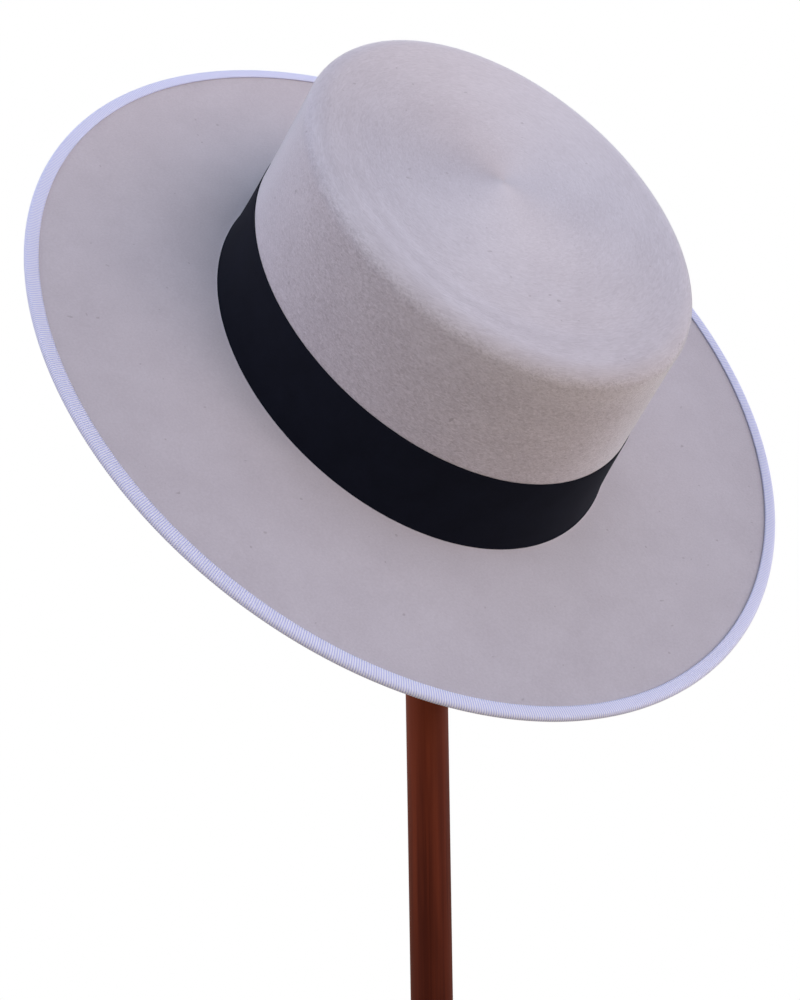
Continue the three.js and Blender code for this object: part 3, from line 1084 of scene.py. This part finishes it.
def wood_material(name, turn, painted_light_share):
    """Stained wood whose grain runs along z after the turn. Light is painted into the stain by that share:
    paler up the pole, by a step and an even rise, and evenly on the side away from +X."""
    material, tree, shader = new_material(name)
    place = Wire(tree).node("ShaderNodeTexCoord", output="Object")
    along = {"Vector": place, "Angle": turn}
    laid = place.node("ShaderNodeVectorRotate", {"rotation_type": "Y_AXIS"}, along)
    streaks = stretched(laid, STREAK_SCALES, 3.0, 0.3)
    pores = stretched(laid, PORE_SCALES, 2.0)
    cloud = stretched(laid, CLOUD_SCALES, 2.0)
    height = place.axis("Z")
    # painted light: paler up the pole and on the side away from +X
    step = smooth_step(height, *PAINTED_LIGHT_BEGINS) * PAINTED_LIGHT_STEP
    paler = step + (height - PAINTED_LIGHT_FROM) * PAINTED_LIGHT_UPWARD - place.axis("X") * PAINTED_LIGHT_SIDEWAYS
    tone = 0.5 + (streaks - 0.5) * 2.5 + (cloud - 0.5) * 0.8 + painted_light_share * paler
    stain = place.mix(tone, STAIN_DARK, STAIN_PALE)
    feed(tree, shader.inputs["Base Color"], place.mix((pores - 0.35) * 0.3, stain, PORE_TINT))
    add_bump(shader, pores, 0.15, 0.0002)
    feed(tree, shader.inputs["Roughness"], 0.45 + (cloud - 0.5) * 0.3)
    shader.inputs["Specular IOR Level"].default_value = 0.08
    shader.inputs["Coat Weight"].default_value = 0.03
    shader.inputs["Coat Roughness"].default_value = 0.2
    return material


pole_wood = wood_material("stained_pole", 0.0, 1.0)
base_wood = wood_material("stained_base", QUARTER_TURN, 0.0)
print("nodes in the wood:", len(pole_wood.node_tree.nodes))

# %% [markdown]
# ## What each piece stands for
#
# Every piece takes the place of its plain solid. The two ribbons were cut as flat strips, whose cut
# widths and lengths are worked out above: the band is drawn tight round the crown, and the binding is
# folded lengthwise over the brim's edge.

# %% Pieces
def finish_piece(piece, material, node):
    """Gives a piece its material and body, and hides the plain solid that it stands for."""
    piece.data.materials.append(material)
    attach(piece, "root")
    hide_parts(node)
    print(piece.name, "takes the place of", node)


finish_piece(felt_body, brushed_felt, "felt_crown_and_brim")
finish_piece(hat_band, black_ribbon, "hat_band")
finish_piece(brim_binding, pale_ribbon, "brim_binding")
finish_piece(stand_pole, pole_wood, "stand_pole")
finish_piece(stand_base, base_wood, "stand_base")

# %% [markdown]
# ## The light
#
# The photograph has soft daylight from all round: a cool sky, a warm glow from below and a few large
# bright sides. Area lamps near the hat would light its near parts more than its far ones. A sun does
# not fade with distance, and a sun many degrees wide has shadows as soft as a window's, so each bright
# side is one such sun. Their colours were solved from the hat's own tones, lamp by lamp.

# %% Lamps
# columns: the direction that the light comes from, its colour, how many degrees wide it is
LAMPS = {
    "left": ((-0.95, -0.35, 0.45), (0.86, 0.78, 0.91), 60),
    "left_back": ((-1.0, 0.6, 0.4), (0.90, 0.84, 0.95), 60),
    "overhead": ((0.0, 0.0, 1.0), (0.54, 0.53, 0.64), 60),
    "right_back": ((1.0, 0.5, 0.3), (1.28, 1.28, 1.40), 50),
    "right_front": ((0.8, -1.0, 0.1), (1.48, 1.19, 1.05), 50),
    "right_low": ((1.0, -0.3, 0.03), (0.61, 0.55, 0.59), 50),
}


def make_lamps():
    """Each lamp is a sun as wide as a large window, so it has a direction but no hard shadow. Its
    strength is the largest part of its colour."""
    for name, (toward, tint, width) in LAMPS.items():
        lamp = bpy.data.lights.new(name, "SUN")
        lamp.energy = max(tint)
        lamp.color = [value / max(tint) for value in tint]
        lamp.angle = math.radians(width)
        holder = bpy.data.objects.new(name, lamp)
        holder.rotation_euler = Vector(toward).to_track_quat("Z", "Y").to_euler()
        bpy.context.scene.collection.objects.link(holder)


make_lamps()
print("lamps:", ", ".join(LAMPS))

# %% [markdown]
# ## Floor and sky
#
# The photograph's background is plain white. A white floor under daylight would still show a grey
# horizon, so far out the floor glows white to the camera alone, and near the stand it is a real
# surface that takes a soft shadow. For light that bounces, floor and sky have the dim colours that the
# hat was lit with. The Light Path node tells the two kinds of ray apart.

# %% Floor
FLOOR_RADIUS = 6.0
FLOOR_SIDES = 96
FLOOR_WHITE_BEGINS = (0.10, 0.23)
FLOOR_PALE = (0.9, 0.9, 0.9, 1)
GROUND_LIGHT = (0.33, 0.29, 0.23)
WHITE = (1, 1, 1, 1)


def floor_material():
    """White light far out and a pale matt surface near the stand, to the camera. To every other ray it
    is a warm, dim ground."""
    material, tree, shader = new_material("pale_floor")
    tree.nodes.remove(shader)
    wire = Wire(tree)
    seen = wire.node("ShaderNodeLightPath", output="Is Camera Ray")
    place = wire.node("ShaderNodeTexCoord", output="Object")
    far = smooth_step(place.length(), *FLOOR_WHITE_BEGINS)
    white = wire.node("ShaderNodeEmission", {}, {"Color": WHITE, "Strength": 1.0})
    pale = wire.node("ShaderNodeBsdfDiffuse", {}, {"Color": FLOOR_PALE})
    shown = wire.node("ShaderNodeMixShader", {}, {0: far, 1: pale, 2: white})
    ground = wire.node("ShaderNodeEmission", {}, {"Color": (*GROUND_LIGHT, 1), "Strength": 1.0})
    both = wire.node("ShaderNodeMixShader", {}, {0: seen, 1: ground, 2: shown})
    feed(tree, tree.nodes["Material Output"].inputs["Surface"], both)
    return material


def make_floor():
    """A large flat disc under the stand: its edge is the radius times the cosine and sine of a turn."""
    turn = np.linspace(0, 2 * math.pi, FLOOR_SIDES, endpoint=False)
    rim = np.stack([FLOOR_RADIUS * np.cos(turn), FLOOR_RADIUS * np.sin(turn), 0 * turn], axis=-1)
    mesh = bpy.data.meshes.new("floor")
    mesh.from_pydata([tuple(point) for point in rim], [], [tuple(range(FLOOR_SIDES))])
    floor = bpy.data.objects.new("floor", mesh)
    bpy.context.scene.collection.objects.link(floor)
    mesh.materials.append(floor_material())
    return floor


print("floor's sides:", len(make_floor().data.vertices))

# %% Sky
SKY_LIGHT = (0.20, 0.285, 0.354)


def make_sky():
    """An even sky, white to the camera and a dim blue to everything else."""
    world = bpy.data.worlds.new("sky")
    world.use_nodes = True
    tree = world.node_tree
    seen = Wire(tree).node("ShaderNodeLightPath", output="Is Camera Ray")
    background = tree.nodes["Background"]
    feed(tree, background.inputs["Color"], seen.mix(seen, (*SKY_LIGHT, 1), WHITE))
    background.inputs["Strength"].default_value = 1.0
    bpy.context.scene.world = world


make_sky()
bpy.context.scene.view_settings.view_transform = "Standard"
print("sky:", SKY_LIGHT)
